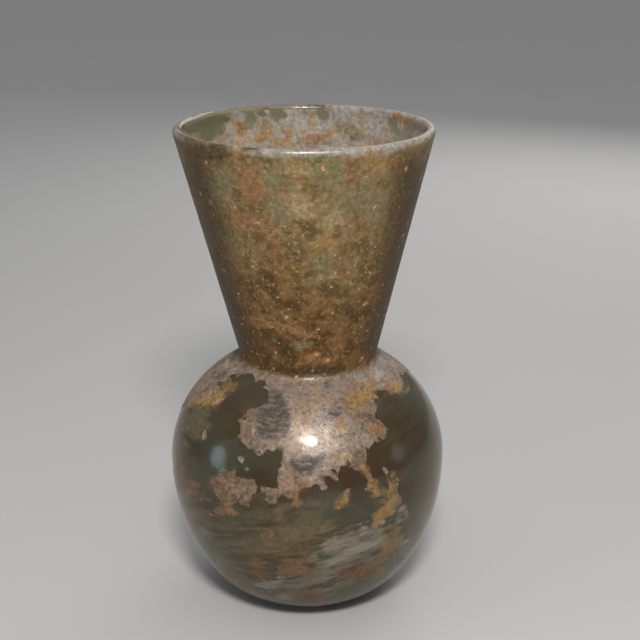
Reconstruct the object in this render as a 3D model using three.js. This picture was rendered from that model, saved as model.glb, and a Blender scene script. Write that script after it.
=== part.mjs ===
// Free-blown glass flask with a round body and a wide funnel neck, in millimetres, +Z up.
// It is one piece of glass: a hollow, open vessel that stands on the flattened ring of its base.
import * as THREE from "three";

// Driving dimensions of the outside
const height = 120;
const rimRadius = 30.8;
const neckRadius = 16.56;
const bodyRadius = 34.6;
const bodyCentreHeight = 36.4; // where the body is widest
const shoulderRise = 29.7; // how far the body's upper dome would rise above its widest ring
const baseFlatRadius = 12.35;
const kickRadius = 7.5; // the pushed-in middle of the base
const kickDepth = 1.6;

// Glass thickness, measured across the wall
const lipThickness = 2.0; // fire-rounded lip
const funnelWall = 1.5;
const bodyWall = 1.8;
const baseWall = 2.6;

// How sharply the funnel turns into the shoulder, as a length along each side of the corner
const outsideNeckBlend = 1.7;
const insideNeckBlend = 3.2;

// A free-blown neck is never quite true: sideways offsets of its axis from the body's axis
const neckOffset = 0.3;
const rimOffset = -0.5;

// Facets
const segmentsRound = 56;
const stepsLowerBody = 12;
const stepsShoulder = 8;
const stepsNeckBlend = 4;
const stepsFunnel = 5;
const stepsLip = 8;
const stepsKick = 3;

const point = (r, z) => new THREE.Vector2(r, z);

// Points along a straight line or a curve, without the first one
const along = (curve, steps) => curve.getPoints(steps).slice(1);
const line = (from, to, steps) => along(new THREE.LineCurve(from, to), steps);

// Quarter of an ellipse or less, by the angle above its widest point
function arc(centreRadius, halfWidth, halfHeight, fromAngle, toAngle, steps) {
  const points = [];
  for (let i = 1; i <= steps; i++) {
    const angle = fromAngle + ((toAngle - fromAngle) * i) / steps;
    points.push(
      point(
        centreRadius + halfWidth * Math.cos(angle),
        bodyCentreHeight + halfHeight * Math.sin(angle),
      ),
    );
  }
  return points;
}

// The ring where a dome of this size reaches a radius, as an angle above its widest point
const angleAtRadius = (domeRadius, radius) => Math.acos(radius / domeRadius);

// Rounds the corner between shoulder and funnel: from the dome, round the corner, to the funnel's side
function neckBlend(fromDome, corner, towardsRim, blend) {
  const onFunnel = corner
    .clone()
    .add(towardsRim.clone().sub(corner).setLength(blend));
  const curve = new THREE.QuadraticBezierCurve(fromDome, corner, onFunnel);
  return along(curve, stepsNeckBlend);
}

// Shoulder dome and funnel of one side of the wall, from the widest ring up to the lip
function shoulderAndFunnel(domeRadius, rise, throatRadius, lipPoint, blend) {
  const cornerAngle = angleAtRadius(domeRadius, throatRadius);
  const cornerHeight = bodyCentreHeight + rise * Math.sin(cornerAngle);
  const corner = point(throatRadius, cornerHeight);
  const blendAngle = angleAtRadius(domeRadius, throatRadius + blend);
  const shoulder = arc(0, domeRadius, rise, 0, blendAngle, stepsShoulder);
  const blended = neckBlend(shoulder.at(-1), corner, lipPoint, blend);
  const funnel = line(blended.at(-1), lipPoint, stepsFunnel);
  return { points: [...shoulder, ...blended, ...funnel], corner };
}

// Pushed-in middle of the base, from its edge to the axis
function kick(edgeRadius, edgeHeight) {
  const points = [];
  for (let i = 1; i <= stepsKick; i++) {
    const share = i / stepsKick;
    points.push(
      point(
        edgeRadius * (1 - share),
        edgeHeight + kickDepth * Math.sin((share * Math.PI) / 2),
      ),
    );
  }
  return points;
}

// Outside of the wall, from the middle of the base to the lip
const lipRadius = lipThickness / 2;
const lipHeight = height - lipRadius;
const outsideLip = point(rimRadius, lipHeight);
const baseEdge = point(baseFlatRadius, 0);
const outsideUpper = shoulderAndFunnel(
  bodyRadius,
  shoulderRise,
  neckRadius,
  outsideLip,
  outsideNeckBlend,
);
const outside = [
  ...kick(kickRadius, 0).reverse(),
  point(kickRadius, 0),
  ...line(point(kickRadius, 0), baseEdge, 1),
  ...arc(
    baseFlatRadius,
    bodyRadius - baseFlatRadius,
    bodyCentreHeight,
    -Math.PI / 2,
    0,
    stepsLowerBody,
  ),
  ...outsideUpper.points,
];

// Fire-rounded lip, from the outside over the top to the inside
const lip = [];
for (let i = 1; i <= stepsLip; i++) {
  const angle = (Math.PI * i) / stepsLip;
  lip.push(
    point(
      rimRadius - lipRadius + lipRadius * Math.cos(angle),
      lipHeight + lipRadius * Math.sin(angle),
    ),
  );
}

// Inside of the wall, from below the lip down to the middle of the base
const funnelSlope = outsideLip.clone().sub(outsideUpper.corner).normalize();
const funnelWallAcross = funnelWall / funnelSlope.y;
const insideLip = point(
  rimRadius - funnelWallAcross - lipThickness * funnelSlope.x,
  lipHeight - lipThickness,
);
const insideRadius = bodyRadius - bodyWall;
const insideFlatRadius = baseFlatRadius - bodyWall;
const insideDepth = bodyCentreHeight - baseWall;
const insideUpper = shoulderAndFunnel(
  insideRadius,
  shoulderRise - funnelWall,
  neckRadius - funnelWallAcross,
  insideLip,
  insideNeckBlend,
);
const inside = [
  ...insideUpper.points.reverse(),
  point(insideRadius, bodyCentreHeight),
  ...arc(
    insideFlatRadius,
    insideRadius - insideFlatRadius,
    insideDepth,
    0,
    -Math.PI / 2,
    stepsLowerBody,
  ),
  ...kick(insideFlatRadius, baseWall),
];

// Sideways offset of the vessel's axis at a height
function axisOffset(z) {
  const neckHeight = outsideUpper.corner.y;
  if (z <= bodyCentreHeight) return 0;
  if (z <= neckHeight) {
    return THREE.MathUtils.mapLinear(
      z,
      bodyCentreHeight,
      neckHeight,
      0,
      neckOffset,
    );
  }
  return THREE.MathUtils.mapLinear(
    z,
    neckHeight,
    height,
    neckOffset,
    rimOffset,
  );
}

function flaskGeometry() {
  const profile = [...outside, ...lip, ...inside];
  const geometry = new THREE.LatheGeometry(profile, segmentsRound);
  geometry.rotateX(Math.PI / 2); // the lathe turns about Y; the flask stands along Z
  const position = geometry.getAttribute("position");
  for (let i = 0; i < position.count; i++) {
    position.setX(i, position.getX(i) + axisOffset(position.getZ(i)));
  }
  geometry.computeVertexNormals();
  return geometry;
}

const weatheredGlass = new THREE.MeshStandardMaterial({
  name: "weathered glass",
  color: new THREE.Color(0.36, 0.3, 0.19),
  roughness: 0.35,
  metalness: 0,
  transparent: true,
  opacity: 0.85,
});

const flask = new THREE.Mesh(flaskGeometry(), weatheredGlass);
flask.name = "glass_flask";

const unguentarium = new THREE.Group();
unguentarium.name = "funnel_neck_unguentarium";
unguentarium.add(flask);

export default unguentarium;
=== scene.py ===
import math
import random

import bpy
import numpy as np
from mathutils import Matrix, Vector, noise


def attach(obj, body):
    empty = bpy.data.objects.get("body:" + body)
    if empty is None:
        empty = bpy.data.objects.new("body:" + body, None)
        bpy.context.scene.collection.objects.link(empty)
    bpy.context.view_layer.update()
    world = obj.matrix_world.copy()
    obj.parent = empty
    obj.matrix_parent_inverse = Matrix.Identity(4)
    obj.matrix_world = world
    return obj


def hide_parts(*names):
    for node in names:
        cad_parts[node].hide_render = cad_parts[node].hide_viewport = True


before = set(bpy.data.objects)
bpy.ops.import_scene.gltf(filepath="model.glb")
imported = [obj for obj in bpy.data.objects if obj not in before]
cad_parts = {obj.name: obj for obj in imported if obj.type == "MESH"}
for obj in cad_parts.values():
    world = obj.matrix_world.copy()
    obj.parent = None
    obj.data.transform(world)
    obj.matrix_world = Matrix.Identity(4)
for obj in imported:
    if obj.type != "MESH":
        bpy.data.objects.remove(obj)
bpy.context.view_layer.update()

print("frame loaded:", sorted(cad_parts))


# Camera: where the photo was taken from, in millimetres and in pixels of its 640 by 640 frame
photoCamera = {
    "pixels": 640,
    "focalPixels": 1231.2,
    "sensorWidth": 36.0,
    "position": (3.24, -288.4, 171.0),
    "pitchDown": 19.05,  # degrees
}


def inMetres(millimetres):
    return millimetres / 1000


def addCamera():
    setup = photoCamera
    data = bpy.data.cameras.new("photoCamera")
    data.sensor_width = setup["sensorWidth"]
    data.lens = setup["focalPixels"] * setup["sensorWidth"] / setup["pixels"]
    data.clip_start = 0.01
    data.clip_end = 50
    camera = bpy.data.objects.new("photoCamera", data)
    camera.location = [inMetres(v) for v in setup["position"]]
    camera.rotation_euler = (math.radians(90 - setup["pitchDown"]), 0, 0)
    bpy.context.collection.objects.link(camera)
    bpy.context.scene.camera = camera


# The flask's sizes in millimetres, the same as the solid's
flask = {
    "height": 120,
    "rimRadius": 30.8,
    "neckRadius": 16.56,
    "bodyRadius": 34.6,
    "bodyCentre": 36.4,  # height of the widest ring
    "shoulderRise": 29.7,
    "baseFlat": 12.35,
    "kickRadius": 7.5,
    "kickDepth": 1.6,
    "lip": 2.0,
    "funnelWall": 1.5,
    "bodyWall": 1.8,
    "baseWall": 2.6,
    "neckBlendOutside": 1.7,
    "neckBlendInside": 3.2,
    "neckOffset": 0.3,  # the blown neck stands slightly off the body's axis
    "rimOffset": -0.5,
    "outsideStep": 0.72,  # how far apart the rings of the mesh are
    "mouthStep": 1.0,
    "insideStep": 2.6,
    "segments": 288,
}


def straight(start, end):
    return lambda t: (start[0] + (end[0] - start[0]) * t, start[1] + (end[1] - start[1]) * t)


def ellipse(centreRadius, halfWidth, halfHeight, fromAngle, toAngle):
    def at(t):
        angle = fromAngle + (toAngle - fromAngle) * t
        return (
            centreRadius + halfWidth * math.cos(angle),
            flask["bodyCentre"] + halfHeight * math.sin(angle),
        )
    return at


def bend(start, corner, end):
    def at(t):
        u = 1 - t
        return tuple(u * u * a + 2 * u * t * b + t * t * c for a, b, c in zip(start, corner, end))
    return at


def kick(radius, height):
    def at(t):
        return (radius * t, height + flask["kickDepth"] * math.cos(t * math.pi / 2))
    return at


def backwards(curve):
    return lambda t: curve(1 - t)


def sampled(curve, step):
    fine = [curve(i / 200) for i in range(201)]
    length = sum(math.dist(a, b) for a, b in zip(fine, fine[1:]))
    count = max(2, math.ceil(length / step))
    return [curve(i / count) for i in range(1, count + 1)]


def upperWall(radius, rise, throat, lipPoint, blend):
    # shoulder dome, rounded corner and funnel of one side of the wall, going up
    cornerHeight = flask["bodyCentre"] + rise * math.sin(math.acos(throat / radius))
    corner = (throat, cornerHeight)
    shoulder = ellipse(0, radius, rise, 0, math.acos((throat + blend) / radius))
    share = blend / math.dist(corner, lipPoint)
    onFunnel = straight(corner, lipPoint)(share)
    return [shoulder, bend(shoulder(1), corner, onFunnel), straight(onFunnel, lipPoint)], corner


def flaskProfile():
    f = flask
    lipRadius = f["lip"] / 2
    lipHeight = f["height"] - lipRadius
    outsideLip = (f["rimRadius"], lipHeight)
    outsideUpper, neck = upperWall(
        f["bodyRadius"], f["shoulderRise"], f["neckRadius"], outsideLip, f["neckBlendOutside"]
    )
    outside = [
        kick(f["kickRadius"], 0),
        straight((f["kickRadius"], 0), (f["baseFlat"], 0)),
        ellipse(f["baseFlat"], f["bodyRadius"] - f["baseFlat"], f["bodyCentre"], -math.pi / 2, 0),
        *outsideUpper,
    ]

    def lip(t):
        angle = math.pi * t
        return (
            f["rimRadius"] - lipRadius + lipRadius * math.cos(angle),
            lipHeight + lipRadius * math.sin(angle),
        )

    slope = Vector(outsideLip) - Vector(neck)
    slope.normalize()
    across = f["funnelWall"] / slope.y
    insideLip = (f["rimRadius"] - across - f["lip"] * slope.x, lipHeight - f["lip"])
    insideRadius = f["bodyRadius"] - f["bodyWall"]
    insideFlat = f["baseFlat"] - f["bodyWall"]
    insideUpper, throat = upperWall(
        insideRadius,
        f["shoulderRise"] - f["funnelWall"],
        f["neckRadius"] - across,
        insideLip,
        f["neckBlendInside"],
    )
    insideLower = ellipse(
        insideFlat, insideRadius - insideFlat, f["bodyCentre"] - f["baseWall"], -math.pi / 2, 0
    )
    inside = [
        straight(lip(1), insideLip),
        *[backwards(curve) for curve in reversed(insideUpper)],
        backwards(insideLower),
        backwards(kick(insideFlat, f["baseWall"])),
    ]
    points = [outside[0](0)]
    for curve in outside:
        points += sampled(curve, f["outsideStep"])
    points += sampled(lip, f["outsideStep"] / 2)
    for i, curve in enumerate(inside):
        nearMouth = i < 2
        points += sampled(curve, f["mouthStep"] if nearMouth else f["insideStep"])
    return points, neck[1]


def blowFlask():
    # one vertex drawn out along the wall's profile, then spun round the axis
    points, neckHeight = flaskProfile()
    bpy.ops.object.select_all(action="DESELECT")
    start = points[0]
    bpy.ops.mesh.primitive_plane_add(size=0.001, location=(0, 0, 0))
    piece = bpy.context.active_object
    piece.name = "weathered_flask"
    bpy.ops.object.mode_set(mode="EDIT")
    bpy.ops.mesh.select_all(action="SELECT")
    bpy.ops.mesh.merge(type="CENTER")
    bpy.ops.transform.translate(value=(inMetres(start[0]), 0, inMetres(start[1])))
    for a, b in zip(points, points[1:]):
        step = (inMetres(b[0] - a[0]), 0, inMetres(b[1] - a[1]))
        bpy.ops.mesh.extrude_region_move(TRANSFORM_OT_translate={"value": step})
    bpy.ops.mesh.select_all(action="SELECT")
    bpy.ops.mesh.spin(
        steps=flask["segments"], angle=2 * math.pi, center=(0, 0, 0), axis=(0, 0, 1)
    )
    bpy.ops.mesh.select_all(action="SELECT")
    bpy.ops.mesh.remove_doubles(threshold=0.00001)
    bpy.ops.mesh.normals_make_consistent(inside=False)
    bpy.ops.object.mode_set(mode="OBJECT")
    bpy.ops.object.shade_smooth()
    print("flask blown:", len(piece.data.vertices), "vertices")
    return piece, neckHeight


def vertexPlaces(piece):
    places = np.empty(len(piece.data.vertices) * 3)
    piece.data.vertices.foreach_get("co", places)
    return places.reshape(-1, 3)


def vertexNormals(piece):
    normals = np.empty(len(piece.data.vertices) * 3)
    piece.data.vertices.foreach_get("normal", normals)
    return normals.reshape(-1, 3)


def leanNeck(piece, neckHeight):
    places = vertexPlaces(piece)
    heights = [flask["bodyCentre"], neckHeight, flask["height"]]
    offsets = [0, flask["neckOffset"], flask["rimOffset"]]
    places[:, 0] += np.interp(places[:, 2] * 1000, heights, offsets) / 1000
    piece.data.vertices.foreach_set("co", places.ravel())
    piece.data.update()


def isInside(piece, neckHeight):
    # vertices of the inner wall: their normals point at the axis, or at the body's centre
    places = vertexPlaces(piece) * 1000
    centre = np.zeros_like(places)
    centre[:, 2] = np.where(places[:, 2] > neckHeight, places[:, 2], flask["bodyCentre"])
    return np.einsum("ij,ij->i", vertexNormals(piece), places - centre) < 0


# Where the weathering lies, drawn over the photo in its pixels. Outlines are closed, and a
# stroke is a line of points with the half of its width. A stroke with one point is a round spot.
crustOutlines = {
    "shoulder": [
        (140, 412), (186, 407), (197, 403), (207, 409), (211, 403), (219, 402), (226, 396), (231, 385),
        (222, 389), (217, 384), (228, 379), (238, 375), (246, 374), (254, 379), (260, 386), (267, 389),
        (268, 399), (258, 409), (246, 411), (245, 418), (239, 421), (237, 431), (242, 438), (246, 446),
        (256, 449), (261, 455), (266, 450), (276, 447), (283, 451), (284, 460), (279, 467), (280, 475),
        (277, 483), (270, 488), (262, 487), (264, 503), (269, 507), (273, 503), (275, 497), (283, 493),
        (290, 498), (293, 507), (297, 499), (298, 491), (305, 487), (318, 489), (325, 486), (321, 479),
        (327, 474), (336, 480), (336, 470), (341, 463), (348, 464), (356, 471), (366, 469), (366, 449),
        (374, 444), (386, 437), (389, 428), (380, 421), (378, 416), (372, 412), (377, 404), (376, 392),
        (391, 389), (400, 392), (403, 382), (401, 374), (420, 366), (420, 340), (220, 340),
    ],
    "leftCrust": [
        (213, 479), (225, 470), (236, 470), (241, 478), (254, 479), (257, 486), (253, 496), (249, 505),
        (240, 503), (232, 506), (224, 507), (218, 499), (215, 493),
    ],
}
crustStrokes = [
    ([(362, 466), (368, 474), (371, 483), (366, 490)], 1.6),
    ([(371, 483), (376, 492), (384, 497), (391, 492)], 1.5),
    ([(384, 468), (389, 478), (391, 489)], 1.2),
    ([(399, 478), (395, 488), (397, 498)], 1.5),
    ([(397, 501), (389, 510), (380, 519)], 5),
    ([(381, 518), (371, 526), (362, 532)], 3.4),
    ([(347, 491), (345, 499), (342, 504)], 3),
    ([(342, 503), (338, 511)], 1.8),
    ([(220, 509), (237, 514)], 2.4),
    ([(241, 459)], 3),
    ([(247, 468)], 1.6),
    ([(262, 452)], 2),
    ([(219, 466)], 1.3),
    ([(211, 516)], 1.4),
    ([(216, 516)], 1.2),
    ([(203, 437), (205, 430)], 1.6),
    ([(373, 410)], 1.6),
]
# Dark, silvered places in the crust, where only its thin lowest layer is left
silveredOutlines = {
    "leftOfHighlight": [
        (257, 411), (262, 402), (264, 393), (275, 388), (284, 394), (288, 404), (291, 416), (290, 430),
        (287, 438), (277, 440), (266, 440), (260, 435), (256, 428), (256, 420),
    ],
    "underHighlight": [
        (290, 463), (293, 456), (302, 454), (318, 454), (323, 451), (324, 459), (319, 461), (313, 470),
        (311, 475), (301, 476), (294, 470),
    ],
    "lobe": [(267, 451), (276, 447), (284, 450), (284, 461), (278, 468), (270, 462)],
    "rightOfCentre": [(327, 410), (336, 406), (343, 412), (337, 419), (329, 418)],
}

# Thin films and stains with soft edges, on the outside of the glass, with painted shade along the sides
# and a silvery film where a painted highlight lies
stainStrokes = {
    "umber": [
        ([(220, 478), (236, 478), (250, 484)], 12), ([(222, 494), (240, 498)], 11),
        ([(246, 418), (245, 436)], 8), ([(366, 416), (380, 426), (384, 434)], 9),
        ([(352, 455), (362, 462)], 8), ([(350, 405), (366, 402)], 8), ([(268, 495), (290, 500)], 6),
        ([(366, 470), (372, 486)], 4), ([(388, 480), (396, 494)], 5),
    ],
    "olive": [
        ([(272, 175), (285, 190), (282, 208)], 13), ([(335, 182), (352, 195), (372, 205)], 17),
        ([(340, 214), (352, 222)], 10), ([(212, 178), (226, 186)], 8), ([(208, 198)], 8),
        ([(212, 232), (224, 246)], 9), ([(328, 256), (318, 266)], 6), ([(200, 412), (192, 430)], 10),
        ([(250, 222)], 5), ([(296, 346), (310, 344)], 4),
    ],
    "green": [
        ([(316, 160), (328, 168)], 11), ([(215, 182)], 7), ([(236, 244)], 5), ([(363, 167)], 4),
        ([(258, 221)], 5), ([(270, 596), (300, 602)], 10), ([(228, 520), (262, 512)], 8),
        ([(272, 177), (278, 186)], 5), ([(340, 590), (370, 578)], 9),
    ],
    "straw": [
        ([(296, 204), (314, 210), (330, 222)], 11), ([(300, 168), (288, 160)], 8), ([(344, 456)], 5),
        ([(250, 548), (290, 540), (312, 530)], 17), ([(312, 527)], 9), ([(330, 522)], 6),
        ([(280, 515)], 9),
    ],
    "rust": [
        ([(229, 151), (238, 153)], 6), ([(351, 162), (348, 183)], 5), ([(334, 193)], 2.5),
        ([(347, 195)], 3), ([(396, 202), (400, 214)], 8), ([(350, 225), (360, 224)], 6),
        ([(281, 187), (283, 193)], 4), ([(300, 180)], 5), ([(250, 176), (254, 196)], 9),
        ([(236, 218), (262, 228)], 9), ([(220, 241), (231, 250)], 6), ([(276, 242)], 6),
        ([(396, 162)], 7), ([(243, 319), (262, 322), (300, 331), (314, 335)], 3.5),
        ([(308, 357), (332, 362)], 6), ([(376, 284), (377, 300)], 5), ([(340, 425)], 4),
        ([(373, 427), (380, 432)], 4), ([(264, 536), (272, 533)], 3), ([(252, 561), (262, 562)], 6),
        ([(256, 571), (266, 573)], 6), ([(288, 562), (304, 569)], 11), ([(212, 480), (214, 485)], 4),
        ([(188, 488), (200, 497)], 6), ([(180, 470), (181, 484)], 5), ([(219, 509), (237, 514)], 4),
        ([(298, 491), (296, 503)], 3.5), ([(304, 487)], 3.5), ([(300, 596), (318, 598)], 6),
        ([(344, 574), (362, 568)], 7), ([(338, 455)], 3), ([(228, 575), (244, 584)], 6),
    ],
    "ochre": [
        ([(318, 241), (328, 243)], 6), ([(313, 250)], 4), ([(198, 400), (212, 400), (230, 386)], 5),
        ([(316, 400), (330, 400)], 5), ([(388, 386), (400, 388)], 6),
        ([(356, 573), (374, 566), (386, 557)], 7), ([(391, 550), (394, 532)], 7),
        ([(368, 160), (388, 160)], 8), ([(393, 474), (393, 484)], 3),
        ([(396, 500), (384, 511), (378, 521)], 6), ([(345, 499), (340, 505)], 5),
        ([(356, 402), (368, 394)], 9), ([(366, 470), (376, 492), (390, 492)], 4),
        ([(248, 320), (272, 325), (300, 331), (314, 335)], 3.5),
    ],
    "ash": [
        ([(330, 546), (352, 538), (376, 528)], 8), ([(320, 566), (345, 553), (378, 541)], 10),
        ([(306, 578), (338, 568), (366, 556)], 7), ([(262, 586), (290, 586), (322, 580)], 5),
        ([(280, 596), (320, 592), (350, 582)], 4), ([(380, 364), (384, 374)], 7),
        ([(398, 519), (404, 511)], 4), ([(229, 364)], 3), ([(404, 545), (398, 560)], 5),
    ],
    # painted shade: these strokes darken the funnel's sides and the front-left lip, and the ring at the
    # foot of the neck
    "dusk": [
        ([(185, 132), (191, 140), (207, 145), (224, 148)], 8), ([(246, 148), (256, 149)], 4),
        ([(192, 152), (222, 156)], 7),
        ([(195, 165), (206, 205), (220, 255)], 12),
        ([(218, 255), (232, 305), (248, 350)], 12), ([(412, 170), (400, 240), (391, 275)], 14),
        ([(388, 285), (382, 315), (372, 345)], 10), ([(262, 367), (300, 372), (340, 368)], 4),
        ([(275, 340), (290, 352)], 6), ([(347, 310)], 6), ([(225, 245)], 4),
    ],
    # painted highlight: a silvery film laid where the lamp's highlights fall, on the shoulder, in the
    # corner under the neck and along the front lip
    "silver": [
        ([(290, 392), (325, 396)], 18), ([(282, 420), (306, 436), (338, 426)], 24),
        ([(345, 444), (318, 450)], 10), ([(284, 150), (338, 150)], 5),
    ],
    "brownGlass": [
        ([(372, 448), (372, 468)], 7), ([(345, 473), (350, 479)], 8), ([(330, 480)], 7), ([(312, 492)], 6),
    ],
}

# The far wall inside the mouth, seen over the near lip
mouthBare = [
    ([(250, 112), (250, 117)], 6), ([(278, 112), (281, 117)], 7), ([(321, 111), (322, 117)], 5.5),
    ([(190, 128), (210, 121), (224, 116)], 7), ([(204, 135), (220, 131)], 6),
    ([(390, 118), (393, 128), (399, 133)], 4.5), ([(410, 128), (417, 126)], 4), ([(262, 113)], 4),
    ([(352, 139)], 3),
]
mouthStrokes = {
    "olive": [([(346, 126), (354, 134)], 9), ([(300, 141), (330, 142)], 4), ([(264, 122)], 5)],
    "rust": [
        ([(238, 121), (243, 126)], 5), ([(308, 137), (320, 138)], 4), ([(290, 134)], 4), ([(394, 117)], 3),
    ],
    "ochre": [
        ([(240, 127), (242, 132)], 4), ([(258, 138), (268, 136)], 5), ([(276, 142), (290, 143)], 4),
        ([(312, 124)], 4), ([(398, 118), (408, 120)], 4), ([(226, 138)], 4), ([(330, 134)], 4),
    ],
    "green": [([(192, 130), (208, 124), (222, 119)], 6), ([(206, 134), (218, 131)], 5)],
    "pale": [
        ([(243, 117), (236, 116)], 5), ([(285, 124)], 4), ([(297, 119)], 5), ([(334, 113), (348, 116)], 7),
        ([(374, 122), (380, 130)], 8), ([(372, 114)], 5), ([(295, 137)], 4),
    ],
}

# The lip: dark in front on the left, which is painted shade from the strokes above, clear along the far
# left, with a pale film in front and on the right
lipBare = [
    ([(186, 128), (205, 114), (225, 110), (262, 105)], 4), ([(270, 105), (296, 105)], 3),
    ([(304, 106)], 3), ([(318, 107)], 2),
]
lipPale = [
    ([(262, 151), (300, 153), (346, 152)], 4), ([(346, 152), (380, 148), (412, 137), (428, 128)], 5),
    ([(350, 156), (380, 152), (402, 144)], 4), ([(346, 160)], 3),
    ([(340, 108), (392, 114), (426, 124)], 4),
]

# The side that the photo doesn't show: places as (degrees round from the front, height, radius), in mm
backBare = [
    (92, 44, 13), (95, 27, 13), (108, 36, 9), (138, 46, 6), (147, 41, 7), (160, 27, 8), (188, 50, 5),
    (203, 36, 8), (213, 30, 6), (232, 45, 6), (262, 38, 11), (268, 24, 12), (250, 24, 7), (175, 22, 7),
]
backStains = {
    "seed": 31,
    "kinds": {
        "umber": 16, "olive": 26, "green": 14, "rust": 30, "ochre": 14, "ash": 14, "dusk": 16, "straw": 14,
    },
    "smallest": 1.0,
    "largest": 4.2,
}

# How the crust breaks off: small round bites along the edges of the bare places
flaking = {
    "seed": 7,
    "bites": 240,
    "reach": 0.6,  # mm from an edge
    "smallest": 0.25,
    "largest": 1.1,
    "keep": 0.2,  # mm, how much wider the crust is drawn than its outline
    "deep": 8.0,  # mm, how far into crust or glass the distances are counted
    "blendDepth": 3.0,  # mm, the same where front and back run into each other
    "lowerBody": 17,  # mm, below this height the back has lost its crust
    "farRim": 108,  # mm, above this height the outside of the far rim is mostly clean
    "rimBehind": 8,  # mm behind the axis, where that begins
    "clean": 0.9,  # mm from its edge, where bare glass is surely clear
    "sideFade": 0.3,  # how far behind the photo's side its stains fade out, as a cosine
    "fadeDrift": 0.025,  # how much that wavers, for each mm that the edges wander
}


def wander(places, size, amount):
    # places pushed about by a soft three-dimensional noise, so that drawn edges come out irregular
    moved = [noise.noise_vector(Vector(p) / size) for p in places]
    return places + amount * np.array(moved)


def photoPixels(places):
    # where places, in mm, show in the photo, and how many pixels a millimetre is there
    pitch = math.radians(photoCamera["pitchDown"])
    away = places - np.array(photoCamera["position"])
    depth = away[:, 1] * math.cos(pitch) - away[:, 2] * math.sin(pitch)
    rise = away[:, 1] * math.sin(pitch) + away[:, 2] * math.cos(pitch)
    scale = photoCamera["focalPixels"] / depth
    middle = photoCamera["pixels"] / 2
    return np.column_stack([middle + away[:, 0] * scale, middle - rise * scale]), scale


def segmentDistance(spots, a, b):
    a = np.array(a, dtype=float)
    step = np.array(b, dtype=float) - a
    along = (spots - a) @ step / max(step @ step, 1e-9)
    return np.linalg.norm(spots - a - np.clip(along, 0, 1)[:, None] * step, axis=1)


def outlineDepth(outline, spots):
    # how far each spot lies inside a closed outline; negative outside it
    nearest = np.full(len(spots), np.inf)
    within = np.zeros(len(spots), dtype=bool)
    x, y = spots.T
    for (ax, ay), (bx, by) in zip(outline, outline[1:] + outline[:1]):
        nearest = np.minimum(nearest, segmentDistance(spots, (ax, ay), (bx, by)))
        if ay != by:
            crossing = ax + (y - ay) * (bx - ax) / (by - ay)
            within ^= ((ay > y) != (by > y)) & (x < crossing)
    return np.where(within, nearest, -nearest)


def strokeDepth(stroke, spots):
    points, half = stroke
    ends = points[1:] or points
    nearest = np.min([segmentDistance(spots, a, b) for a, b in zip(points, ends)], axis=0)
    return half - nearest


def deepest(depths, count):
    return np.max([np.full(count, -100.0), *depths], axis=0)


def softCover(strokes, spots, soft):
    # 1 along the middle of the strokes, 0 away from them, with an edge that is a share of their width
    covers = [np.clip(0.5 + strokeDepth(s, spots) / (2 * soft * s[1]), 0, 1) for s in strokes]
    return np.max([np.zeros(len(spots)), *covers], axis=0)


def onBody(degrees, height):
    # a place on the outside of the body, from the way round and the height
    rise = flask["shoulderRise"] if height > flask["bodyCentre"] else flask["bodyCentre"]
    radius = flask["bodyRadius"] * math.sqrt(max(0, 1 - ((height - flask["bodyCentre"]) / rise) ** 2))
    angle = math.radians(degrees)
    return np.array([radius * math.sin(angle), -radius * math.cos(angle), height])


def onFunnel(degrees, height, neckHeight):
    share = (height - neckHeight) / (flask["height"] - neckHeight)
    radius = flask["neckRadius"] + (flask["rimRadius"] - flask["neckRadius"]) * share
    angle = math.radians(degrees)
    return np.array([radius * math.sin(angle), -radius * math.cos(angle), height])


def backCover(kind, count, places, neckHeight):
    # seeded soft spots on the side that the photo doesn't show
    draw = random.Random(f"{backStains['seed']} {kind}")
    cover = np.zeros(len(places))
    for _ in range(count):
        degrees = draw.uniform(95, 265)
        height = draw.uniform(4, flask["height"] - 4)
        size = draw.uniform(backStains["smallest"], backStains["largest"])
        if height > neckHeight:
            centre = onFunnel(degrees, height, neckHeight)
        else:
            centre = onBody(degrees, height)
        distance = np.linalg.norm(places - centre, axis=1) / size
        cover = np.maximum(cover, np.clip(1.5 - distance, 0, 1))
    return cover


def withBites(bare, places, among):
    # round bites out of the crust along its edges, at seeded random vertices
    draw = random.Random(flaking["seed"])
    nearEdge = np.flatnonzero(among & (np.abs(bare) < flaking["reach"]))
    bitten = bare.copy()
    for i in draw.sample(list(nearEdge), min(flaking["bites"], len(nearEdge))):
        size = flaking["smallest"] + (flaking["largest"] - flaking["smallest"]) * draw.random() ** 2
        bitten = np.maximum(bitten, size - np.linalg.norm(places - places[i], axis=1))
    return bitten


def storeAttribute(piece, name, values):
    attribute = piece.data.attributes.new(name, "FLOAT", "POINT")
    attribute.data.foreach_set("value", np.asarray(values, dtype=np.float32))


def bodyBare(loose, spots, scale, front):
    # depth of bare glass in mm, negative under crust, on the outside of the body
    count = len(loose)
    crust = deepest([outlineDepth(o, spots) for o in crustOutlines.values()], count)
    crust = np.maximum(crust, deepest([strokeDepth(s, spots) for s in crustStrokes], count))
    patches = [r - np.linalg.norm(loose - onBody(a, h), axis=1) for a, h, r in backBare]
    back = np.maximum(deepest(patches, count), flaking["lowerBody"] - loose[:, 2])
    most = flaking["blendDepth"]
    shown = np.clip(-crust / scale, -most, most)
    return front * shown + (1 - front) * np.clip(back, -most, most) - flaking["keep"]


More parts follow.
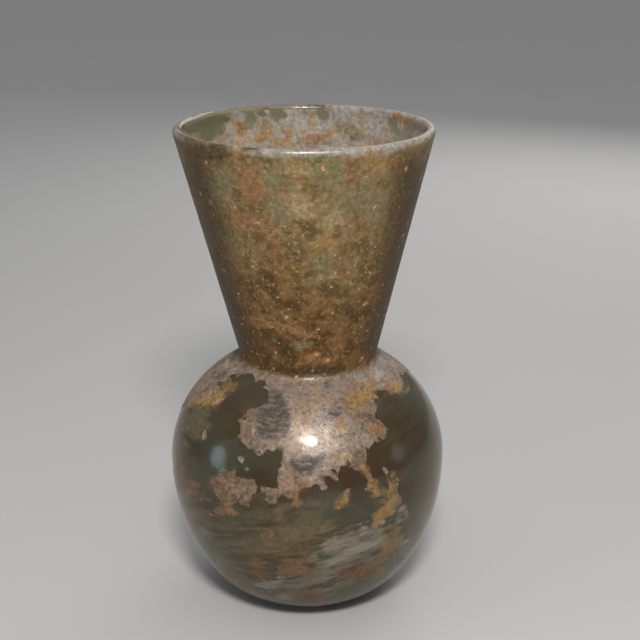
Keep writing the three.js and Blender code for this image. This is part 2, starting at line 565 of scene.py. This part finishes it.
def paintWeathering(piece, neckHeight):
    places = vertexPlaces(piece) * 1000
    normals = vertexNormals(piece)
    inside = isInside(piece, neckHeight)
    toCamera = np.array(photoCamera["position"]) - places
    turn = np.einsum("ij,ij->i", normals, toCamera) / np.linalg.norm(toCamera, axis=1)
    noise.seed_set(flaking["seed"])
    ragged = wander(wander(places, 1.4, 0.5), 5, 0.8)
    spots, scale = photoPixels(ragged)
    count = len(places)
    z = places[:, 2]
    lipZone = z > flask["height"] - flask["lip"] / 2
    onFlaskBody = z < neckHeight

    loose = wander(ragged, 11, 9)
    # 1 on the side that the photo shows, fading out unevenly just behind its edges
    front = np.clip(1 + (turn + flaking["fadeDrift"] * (loose - ragged)[:, 2]) / flaking["sideFade"], 0, 1)
    front = np.where(turn > 0, 1, front)
    bare = bodyBare(loose, spots, scale, front)
    bare = withBites(bare, places, ~inside & onFlaskBody)
    farRim = np.minimum(loose[:, 2] - flaking["farRim"], loose[:, 1] - flaking["rimBehind"])
    bare = np.where(onFlaskBody, bare, farRim)
    mouth = deepest([strokeDepth(s, spots) for s in mouthBare], count) / scale
    liningFree = -places[:, 1] / 2  # painted shade: a dark lining on the far half of the body's inside
    mouth = np.minimum(mouth, flaking["blendDepth"] * (2 * front - 1))
    innerBare = np.where(onFlaskBody, liningFree, mouth)
    bare = np.where(inside, innerBare, bare)
    lip = deepest([strokeDepth(s, spots) for s in lipBare], count) / scale
    bare = np.where(lipZone, lip, bare)
    bare = np.clip(bare, -flaking["deep"], flaking["deep"])
    storeAttribute(piece, "bare", bare)
    storeAttribute(piece, "inside", inside | lipZone)

    silvered = deepest([outlineDepth(o, spots) for o in silveredOutlines.values()], count) / scale
    silvered = np.where((turn > 0) & ~inside & onFlaskBody, silvered, -flaking["deep"])
    storeAttribute(piece, "silvered", np.maximum(silvered, -flaking["deep"]))
    for kind, strokes in stainStrokes.items():
        outer = softCover(strokes, spots, 1.1) * front
        behind = backCover(kind, backStains["kinds"].get(kind, 0), ragged, neckHeight) * (1 - front)
        inner = softCover(mouthStrokes.get(kind, []), spots, 0.6) * front
        storeAttribute(piece, kind, np.where(inside, inner, np.maximum(outer, behind)))
    lipFilm = softCover(lipPale, spots, 0.6)
    pale = np.where(inside, softCover(mouthStrokes["pale"], spots, 0.5), lipFilm)
    pale = np.where(lipZone, np.maximum(pale, lipFilm), pale)
    storeAttribute(piece, "pale", pale * front)
    print("weathering painted:", int(np.sum(bare > 0)), "of", count, "vertices are bare glass")
    crusted = np.where(lipZone, flaking["deep"], bare)
    return crusted, inside


# Looks of the weathered glass. Colours are linear, sizes are in millimetres.
finish = {
    "glass": ((0.18, 0.12, 0.055), (0.19, 0.18, 0.105)),
    "glassMottle": (0.42, 0.33, 0.17),
    "scuff": (0.62, 0.57, 0.44),
    "rimGlass": (0.42, 0.385, 0.265),
    "glassRoughness": 0.15,
    "glassClear": 0.8,  # share of the light that bare glass lets through
    "glassIor": 1.51,
    "glassGloss": 0.3,
    "crustGloss": 0.12,
    "soil": ((0.075, 0.041, 0.013), (0.175, 0.096, 0.036), (0.32, 0.195, 0.088)),
    "topSoil": ((0.125, 0.086, 0.036), (0.235, 0.17, 0.08), (0.36, 0.27, 0.14)),
    "umber": ((0.07, 0.046, 0.024), (0.185, 0.12, 0.07)),
    "olive": ((0.14, 0.114, 0.062), (0.24, 0.198, 0.115)),
    "green": ((0.125, 0.125, 0.055), (0.235, 0.22, 0.095)),
    "straw": ((0.23, 0.17, 0.075), (0.40, 0.31, 0.16)),
    "rust": ((0.15, 0.074, 0.028), (0.30, 0.155, 0.07)),
    "ochre": ((0.20, 0.12, 0.038), (0.34, 0.21, 0.085)),
    "orange": (0.46, 0.29, 0.15),
    "chalk": ((0.11, 0.078, 0.055), (0.235, 0.175, 0.135), (0.40, 0.315, 0.255)),
    "tints": ((0.27, 0.18, 0.105), (0.21, 0.20, 0.19)),
    # painted highlight: the chalk's lighter colour under the silvery film, where the lamp's reflection
    # falls
    "highlightSheen": ((0.365, 0.285, 0.265), (0.335, 0.305, 0.25)),
    "silvered": ((0.05, 0.041, 0.034), (0.23, 0.19, 0.158)),
    "pale": ((0.19, 0.178, 0.16), (0.34, 0.316, 0.285)),
    "ash": ((0.13, 0.113, 0.082), (0.33, 0.30, 0.255)),
    # darkest brown: painted shade on the funnel's sides, the front-left lip and the foot of the neck, and
    # dark stains on the back and pits in the soil
    "dusk": ((0.04, 0.026, 0.011), (0.095, 0.062, 0.028)),
    # dark pits in the crust, and painted shade along the crust's edges
    "pitAndEdgeShade": (0.045, 0.034, 0.022),
    "speck": (0.58, 0.40, 0.22),
    "brownGlass": (0.20, 0.115, 0.06),
    "innerShadeLining": ((0.05, 0.037, 0.02), (0.12, 0.088, 0.05)),
}


def addNode(tree, kind, values=None, **settings):
    made = tree.nodes.new(kind)
    for name, value in settings.items():
        setattr(made, name, value)
    for name, value in (values or {}).items():
        if isinstance(value, bpy.types.NodeSocket):
            tree.links.new(value, made.inputs[name])
        elif isinstance(value, tuple) and len(value) == 3 and made.inputs[name].type == "RGBA":
            made.inputs[name].default_value = (*value, 1)
        else:
            made.inputs[name].default_value = value
    return made


class Mixer:
    # short words for the nodes of one material
    def __init__(self, material):
        self.tree = material.node_tree
        self.coords = addNode(self.tree, "ShaderNodeTexCoord").outputs["Object"]

    def turned(self, angles, stretch):
        settings = {"Vector": self.coords, "Rotation": angles, "Scale": stretch}
        return addNode(self.tree, "ShaderNodeMapping", settings, vector_type="TEXTURE").outputs[0]

    def noise(self, size, detail=4.0, rough=0.6, coords=None):
        settings = {"Vector": coords or self.coords, "Scale": 1000 / size}
        settings.update({"Detail": detail, "Roughness": rough})
        return addNode(self.tree, "ShaderNodeTexNoise", settings).outputs["Fac"]

    def cells(self, size, coords=None):
        settings = {"Vector": coords or self.coords, "Scale": 1000 / size}
        made = addNode(self.tree, "ShaderNodeTexVoronoi", settings)
        chance = addNode(self.tree, "ShaderNodeSeparateColor", {"Color": made.outputs["Color"]})
        return made.outputs["Distance"], chance.outputs["Red"]

    def shaken(self, size, amount):
        # turned coordinates with a little noise in them, for specks that are irregular and form no rows
        tilted = self.turned((0.6, 0.45, 0.8), (1, 1, 1))
        settings = {"Vector": tilted, "Scale": 1000 / size, "Detail": 2.0}
        push = addNode(self.tree, "ShaderNodeTexNoise", settings).outputs["Color"]
        settings = {0: push, "Scale": amount / 1000}
        push = addNode(self.tree, "ShaderNodeVectorMath", settings, operation="SCALE")
        return addNode(
            self.tree, "ShaderNodeVectorMath", {0: tilted, 1: push.outputs[0]}, operation="ADD"
        ).outputs[0]

    def painted(self, name):
        return addNode(self.tree, "ShaderNodeAttribute", attribute_name=name).outputs["Fac"]

    def calc(self, operation, a, b=0.0):
        return addNode(self.tree, "ShaderNodeMath", {0: a, 1: b}, operation=operation).outputs[0]

    def fade(self, value, start, end, low=0.0, high=1.0):
        settings = {"Value": value, "From Min": start, "From Max": end, "To Min": low, "To Max": high}
        return addNode(
            self.tree, "ShaderNodeMapRange", settings, interpolation_type="SMOOTHSTEP"
        ).outputs["Result"]

    def blend(self, amount, a, b):
        return addNode(
            self.tree, "ShaderNodeMix", {0: amount, 6: a, 7: b}, data_type="RGBA", clamp_factor=True
        ).outputs[2]

    def number(self, amount, a, b):
        return addNode(
            self.tree, "ShaderNodeMix", {0: amount, 2: a, 3: b}, data_type="FLOAT", clamp_factor=True
        ).outputs[0]

    def inverse(self, value):
        return self.calc("SUBTRACT", 1.0, value)

    def blotch(self, weight, texture, ragged, sharp):
        # a painted weight broken up by a noise
        wobble = self.calc("MULTIPLY", self.calc("SUBTRACT", texture, 0.5), ragged)
        edge = self.calc("ADD", weight, self.calc("MULTIPLY", wobble, self.fade(weight, 0.0, 0.25)))
        return self.fade(edge, 0.5 - sharp, 0.5 + sharp)


# How each stain and the painted shade lie: strength, how much noise breaks it up, how soft its edge is,
# how much it hides
stainLayers = {
    "umber": (0.8, 1.8, 0.45, 0.0),
    "olive": (0.85, 1.5, 0.28, 0.4),
    "green": (0.8, 1.4, 0.28, 0.2),
    "straw": (0.7, 1.6, 0.4, 0.25),
    "ash": (0.8, 1.7, 0.3, 0.7),
    "pale": (0.8, 0.9, 0.35, 0.9),
    "ochre": (0.75, 1.9, 0.38, 0.6),
    "rust": (0.75, 1.9, 0.38, 0.6),
    "dusk": (0.9, 1.2, 0.5, 0.2),
}


def threeTones(m, tones, clouds, grit):
    mixed = m.blend(m.fade(clouds, 0.38, 0.58), tones[0], tones[1])
    mixed = m.blend(m.fade(grit, 0.45, 0.34, 0.0, 0.75), mixed, tones[0])
    return m.blend(m.fade(grit, 0.52, 0.68), mixed, tones[2])


def crustColours(m, look, where, noises):
    height, funnel, inside = where
    broad, clouds, grit = noises
    # soil on the funnel, greyer towards the rim
    rise = m.calc("ADD", height, m.calc("MULTIPLY", m.calc("SUBTRACT", broad, 0.5), 0.06))
    soil = threeTones(m, look["soil"], clouds, grit)
    topSoil = threeTones(m, look["topSoil"], clouds, grit)
    soil = m.blend(m.fade(rise, 0.078, 0.108, 0.0, 0.85), soil, topSoil)
    # chalky film on the body, with pinkish, yellowish and grey places and a silvery sheen, whose lighter
    # colour is a painted highlight where the lamp's reflection falls
    chalk = threeTones(m, look["chalk"], clouds, grit)
    hue = m.noise(6.5, 4.0, 0.6)
    chalk = m.blend(m.fade(hue, 0.52, 0.68, 0.0, 0.6), chalk, look["tints"][0])
    chalk = m.blend(m.fade(hue, 0.46, 0.32, 0.0, 0.6), chalk, look["tints"][1])
    highlightSheen = m.blend(m.fade(m.noise(3.2, 5.0, 0.65), 0.42, 0.58), *look["highlightSheen"])
    chalk = m.blend(m.calc("MULTIPLY", m.painted("silver"), 0.42), chalk, highlightSheen)
    pits = m.fade(m.noise(0.9, 5.0, 0.7), 0.54, 0.61)
    chalk = m.blend(m.calc("MULTIPLY", pits, 0.65), chalk, look["pitAndEdgeShade"])
    brushed = m.noise(1.5, 6.0, 0.75, m.turned((0, 0, 0), (1.7, 1.7, 0.55)))
    flecks = m.fade(m.noise(1.7, 5.0, 0.7), 0.56, 0.64, 0.0, 0.6)
    chalk = m.blend(flecks, chalk, m.blend(m.fade(hue, 0.45, 0.55), look["ochre"][1], look["rust"][1]))
    silvered = m.blend(m.fade(brushed, 0.42, 0.70), *look["silvered"])
    edge = m.calc("ADD", m.painted("silvered"), m.calc("MULTIPLY", m.calc("SUBTRACT", brushed, 0.5), 3.5))
    chalk = m.blend(m.fade(edge, -0.7, 0.6, 0.0, 0.9), chalk, silvered)
    # film inside the mouth
    film = m.blend(m.fade(grit, 0.36, 0.62), *look["pale"])
    flecks = m.fade(m.noise(2.1, 5.0, 0.7), 0.49, 0.57, 0.0, 0.65)
    film = m.blend(flecks, film, m.blend(m.fade(clouds, 0.42, 0.58), look["rust"][1], look["orange"]))
    worn = m.fade(m.noise(9.0, 5.0, 0.65), 0.46, 0.60, 0.0, 0.6)
    film = m.blend(worn, film, m.blend(m.fade(grit, 0.4, 0.6), *look["olive"]))
    film = m.blend(m.fade(rise, 0.104, 0.076, 0.0, 0.85), film, soil)
    wall = m.blend(funnel, chalk, soil)
    return m.blend(m.calc("MULTIPLY", inside, funnel), wall, film)


def goldenSpecks(m, look, colour, soil, height):
    # grains and burst bubbles caught in the soil, their light specks partly their own colour and partly
    # painted glints
    lower = m.fade(height, 0.116, 0.078, 0.25, 1.0)
    distance, chance = m.cells(3.3, m.shaken(1.1, 1.6))
    size = m.fade(chance, 0.25, 1.0, 0.0, 0.17)
    halo = m.fade(m.calc("SUBTRACT", m.calc("MULTIPLY", size, 2.3), distance), 0.0, 0.2)
    colour = m.blend(m.calc("MULTIPLY", m.calc("MULTIPLY", halo, soil), 0.55), colour, look["rust"][1])
    bubbles = m.fade(m.calc("SUBTRACT", size, distance), 0.0, 0.06)
    distance, chance = m.cells(1.45, m.shaken(1.1, 1.0))
    size = m.fade(chance, 0.3, 1.0, 0.0, 0.3)
    grains = m.calc("MULTIPLY", m.fade(m.calc("SUBTRACT", size, distance), 0.0, 0.16), lower)
    specks = m.calc("MULTIPLY", m.calc("MAXIMUM", bubbles, grains), soil)
    colour = m.blend(m.calc("MULTIPLY", specks, 0.75), colour, look["speck"])
    distance, chance = m.cells(4.5, m.shaken(1.2, 2.4))
    size = m.fade(chance, 0.45, 1.0, 0.0, 0.25)
    pits = m.calc("MULTIPLY", m.fade(m.calc("SUBTRACT", size, distance), 0.0, 0.12), soil)
    return m.blend(m.calc("MULTIPLY", pits, 0.5), colour, look["dusk"][1]), specks


def weatheredGlass(neckHeight):
    look = finish
    material = bpy.data.materials.new("weatheredGlass")
    material.use_nodes = True
    material.node_tree.nodes.clear()
    m = Mixer(material)
    height = addNode(m.tree, "ShaderNodeSeparateXYZ", {"Vector": m.coords}).outputs["Z"]
    inside = m.painted("inside")
    broad = m.noise(13.0, 3.0, 0.6)
    clouds = m.noise(4.0, 6.0, 0.7)
    grit = m.noise(1.1, 5.0, 0.75)
    drawn = m.turned((0, math.radians(-12), 0), (1.8, 1.8, 0.45))
    swirl = m.noise(5.0, 7.0, 0.7, drawn)

    ragged = m.calc("MULTIPLY", m.calc("SUBTRACT", clouds, 0.5), 0.007)
    funnel = m.fade(m.calc("ADD", height, ragged), inMetres(neckHeight - 0.6), inMetres(neckHeight + 1.4))
    crust = crustColours(m, look, (height, funnel, inside), (broad, clouds, grit))

    # where the crust is gone
    edgeNoise = m.calc("MULTIPLY", m.calc("SUBTRACT", m.noise(1.2, 5.0, 0.7), 0.5), 1.5)
    edge = m.calc("ADD", m.painted("bare"), edgeNoise)
    clear = m.fade(edge, -0.06, 0.06)
    # painted shade: the crust darkens along its edges, as where its raised edge shades the glass
    line = m.fade(edge, -0.3, -0.04)
    crust = m.blend(m.calc("MULTIPLY", line, 0.3), crust, look["pitAndEdgeShade"])
    glass = m.blend(m.fade(broad, 0.42, 0.6), *look["glass"])
    lower = m.fade(height, 0.042, 0.026, 0.25, 1.0)
    mottle = m.calc("MULTIPLY", m.fade(swirl, 0.50, 0.58, 0.0, 0.7), lower)
    glass = m.blend(mottle, glass, look["glassMottle"])
    scuffs = m.noise(2.2, 7.0, 0.75, m.turned((0, math.radians(-16), 0), (3.0, 3.0, 0.42)))
    scuffs = m.calc("MULTIPLY", m.fade(scuffs, 0.55, 0.62, 0.0, 0.6), lower)
    glass = m.blend(scuffs, glass, look["scuff"])
    glass = m.blend(m.painted("brownGlass"), glass, look["brownGlass"])
    upwards = m.fade(height, inMetres(neckHeight), inMetres(neckHeight + 8))
    glass = m.blend(upwards, glass, look["rimGlass"])
    colour = m.blend(clear, crust, glass)

    # stains, and the painted shade, over both
    loose = m.calc("MULTIPLY", m.calc("SUBTRACT", swirl, 0.5), 1.7)
    streaks = m.number(funnel, m.calc("ADD", loose, 0.5), clouds)
    hidden = 0.0
    for kind, (strength, breakUp, soft, cover) in stainLayers.items():
        weight = m.calc("MULTIPLY", m.blotch(m.painted(kind), streaks, breakUp, soft), strength)
        if kind == "umber":
            weight = m.calc("MULTIPLY", weight, m.inverse(clear))
        tone = m.blend(m.fade(swirl if kind == "ash" else grit, 0.38, 0.62), *look[kind])
        colour = m.blend(weight, colour, tone)
        hidden = m.calc("MAXIMUM", hidden, m.calc("MULTIPLY", weight, cover))
    soil = m.calc("MULTIPLY", funnel, m.inverse(inside))
    colour, specks = goldenSpecks(m, look, colour, soil, height)

    # painted shade: a dark lining on the far half of the body's inside
    shadeLining = m.blend(m.fade(clouds, 0.35, 0.65), *look["innerShadeLining"])
    inBody = m.calc("MULTIPLY", inside, m.fade(height, inMetres(neckHeight + 8), inMetres(neckHeight)))
    covered = m.calc("MULTIPLY", inBody, m.inverse(clear))
    colour = m.blend(covered, colour, shadeLining)

    through = m.calc("MULTIPLY", clear, m.inverse(hidden))
    # the silvery film where the highlights fall: metallic with a coat, its colour already lightened as
    # painted highlight
    silver = m.calc("MULTIPLY", m.painted("silver"), m.inverse(clear))
    roughSoil = m.fade(grit, 0.3, 0.7, 0.36, 0.56)
    roughChalk = m.fade(grit, 0.3, 0.7, 0.42, 0.62)
    rough = m.number(funnel, roughChalk, roughSoil)
    rough = m.number(silver, rough, 0.34)
    rough = m.number(through, rough, look["glassRoughness"])

    grain = m.calc("ADD", m.calc("MULTIPLY", grit, 0.8), m.calc("MULTIPLY", clouds, 0.8))
    grain = m.calc("ADD", grain, m.calc("MULTIPLY", specks, 0.6))
    grain = m.calc("MULTIPLY", grain, m.inverse(clear))
    settings = {"Height": grain, "Strength": 0.45, "Distance": inMetres(0.3)}
    bump = addNode(m.tree, "ShaderNodeBump", settings).outputs[0]

    surface = addNode(
        m.tree,
        "ShaderNodeBsdfPrincipled",
        {
            "Base Color": colour,
            "Roughness": rough,
            "Metallic": m.calc("MULTIPLY", silver, 0.42),
            "Transmission Weight": m.calc("MULTIPLY", through, look["glassClear"]),
            "IOR": look["glassIor"],
            "Specular IOR Level": look["crustGloss"],
            "Coat Weight": m.calc("MULTIPLY", silver, 0.35),
            "Coat Roughness": 0.12,
            "Normal": bump,
        },
    )
    out = addNode(m.tree, "ShaderNodeOutputMaterial")
    m.tree.links.new(surface.outputs[0], out.inputs["Surface"])
    print("material mixed:", len(m.tree.nodes), "nodes")
    return material


def bareGlass(weathered):
    # the same glass where nothing lies on it, clear by plain values
    material = weathered.copy()
    material.name = "bareGlass"
    tree = material.node_tree
    shader = next(node for node in tree.nodes if node.type == "BSDF_PRINCIPLED")
    plain = {
        "Roughness": finish["glassRoughness"],
        "Metallic": 0,
        "Transmission Weight": finish["glassClear"],
        "Specular IOR Level": finish["glassGloss"],
        "Coat Weight": 0,
    }
    for name, value in plain.items():
        for link in shader.inputs[name].links:
            tree.links.remove(link)
        shader.inputs[name].default_value = value
    return material


def glazeFlask(piece, bare, neckHeight):
    weathered = weatheredGlass(neckHeight)
    piece.data.materials.append(weathered)
    piece.data.materials.append(bareGlass(weathered))
    clean = bare > flaking["clean"]
    for kind in stainLayers:
        weights = np.zeros(len(clean))
        piece.data.attributes[kind].data.foreach_get("value", weights)
        clean &= weights == 0
    for face in piece.data.polygons:
        face.material_index = int(all(clean[i] for i in face.vertices))
    print("glazed:", sum(face.material_index for face in piece.data.polygons), "faces of bare glass")


# Relief of the weathering, in millimetres
relief = {"crustThickness": 0.12, "grain": 0.10, "grainSize": 2.2, "flatBelow": 3}


def raiseCrust(piece, bare, inside):
    # the crust stands proud of the bare glass
    weights = np.clip(0.5 - bare / 0.8, 0, 1) * np.where(inside, 0.4, 1)
    heights = vertexPlaces(piece)[:, 2] * 1000
    weights *= np.clip(heights / relief["flatBelow"], 0, 1)  # the resting ring stays flat
    crust = piece.vertex_groups.new(name="crust")
    steps = 20
    for step in range(1, steps + 1):
        chosen = np.flatnonzero(np.round(weights * steps) == step)
        crust.add([int(i) for i in chosen], step / steps, "REPLACE")
    thickness = piece.modifiers.new("crustThickness", "DISPLACE")
    thickness.strength = inMetres(relief["crustThickness"])
    thickness.mid_level = 0
    thickness.vertex_group = "crust"
    grain = piece.modifiers.new("crustGrain", "DISPLACE")
    grain.texture = bpy.data.textures.new("crustGrain", "CLOUDS")
    grain.texture.noise_scale = inMetres(relief["grainSize"])
    grain.texture.noise_depth = 2
    grain.strength = inMetres(relief["grain"])
    grain.vertex_group = "crust"
    bpy.ops.object.select_all(action="DESELECT")
    piece.select_set(True)
    bpy.context.view_layer.objects.active = piece
    for name in [modifier.name for modifier in piece.modifiers]:
        bpy.ops.object.modifier_apply(modifier=name)
    piece.data.calc_loop_triangles()
    print("crust raised:", len(piece.data.loop_triangles), "triangles")


# Floor and light
studio = {
    "floorSize": 14.0,
    "floorColour": (0.47, 0.47, 0.475),
    "horizon": 0.2,  # how bright the surroundings are, level with the floor and overhead
    "overhead": 0.65,
}
lamps = {
    "key": {"place": (0.02, -0.36, 0.40), "size": (0.10, 0.08), "watts": 2.25, "colour": (1, 0.96, 0.91)},
    "leftStrip": {
        "place": (-0.55, -0.12, 0.12), "size": (0.14, 0.18), "watts": 0.2, "colour": (0.65, 0.85, 1),
    },
    "backFill": {"place": (0.22, 0.50, 0.34), "size": (0.5, 0.4), "watts": 1.2, "colour": (1, 0.98, 0.95)},
    "rightStrip": {
        "place": (0.60, -0.10, 0.14), "size": (0.14, 0.18), "watts": 0.05, "colour": (0.8, 0.9, 1),
    },
}


def addFloor():
    bpy.ops.object.select_all(action="DESELECT")
    bpy.ops.mesh.primitive_plane_add(size=studio["floorSize"], location=(0, 0, 0))
    floor = bpy.context.active_object
    floor.name = "floor"
    material = bpy.data.materials.new("paleFloor")
    material.use_nodes = True
    m = Mixer(material)
    shader = m.tree.nodes["Principled BSDF"]
    r, g, b = studio["floorColour"]
    darker = (r * 0.96, g * 0.96, b * 0.96)
    m.tree.links.new(m.blend(m.noise(60.0), darker, (r, g, b)), shader.inputs["Base Color"])
    shader.inputs["Roughness"].default_value = 0.8
    shader.inputs["Specular IOR Level"].default_value = 0.1
    floor.data.materials.append(material)


def addLamps():
    target = Vector((0, 0, 0.055))
    for name, lamp in lamps.items():
        data = bpy.data.lights.new(name, "AREA")
        data.shape = "ELLIPSE"
        data.size, data.size_y = lamp["size"]
        data.energy = lamp["watts"]
        data.color = lamp["colour"]
        light = bpy.data.objects.new(name, data)
        light.location = lamp["place"]
        light.rotation_euler = (target - light.location).to_track_quat("-Z", "Y").to_euler()
        light.visible_camera = False
        bpy.context.collection.objects.link(light)
    world = bpy.data.worlds.new("studioWorld")
    world.use_nodes = True
    tree = world.node_tree
    upwards = addNode(tree, "ShaderNodeTexCoord").outputs["Generated"]
    upwards = addNode(tree, "ShaderNodeSeparateXYZ", {"Vector": upwards}).outputs["Z"]
    upwards = addNode(tree, "ShaderNodeMath", {0: upwards, 1: 0.0}, operation="MAXIMUM").outputs[0]
    upwards = addNode(tree, "ShaderNodeMath", {0: upwards, 1: 2.0}, operation="POWER").outputs[0]
    settings = {"Value": upwards, "To Min": studio["horizon"], "To Max": studio["overhead"]}
    strength = addNode(tree, "ShaderNodeMapRange", settings).outputs["Result"]
    tree.links.new(strength, tree.nodes["Background"].inputs["Strength"])
    tree.nodes["Background"].inputs["Color"].default_value = (1, 1, 1, 1)
    bpy.context.scene.world = world
    bpy.context.scene.view_settings.view_transform = "Standard"
    print("studio lit:", sorted(lamps))


addCamera()
addFloor()
addLamps()
flaskPiece, neckRing = blowFlask()
leanNeck(flaskPiece, neckRing)
bareDepth, insideWall = paintWeathering(flaskPiece, neckRing)
raiseCrust(flaskPiece, bareDepth, insideWall)
glazeFlask(flaskPiece, bareDepth, neckRing)
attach(flaskPiece, "root")
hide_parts("glass_flask")
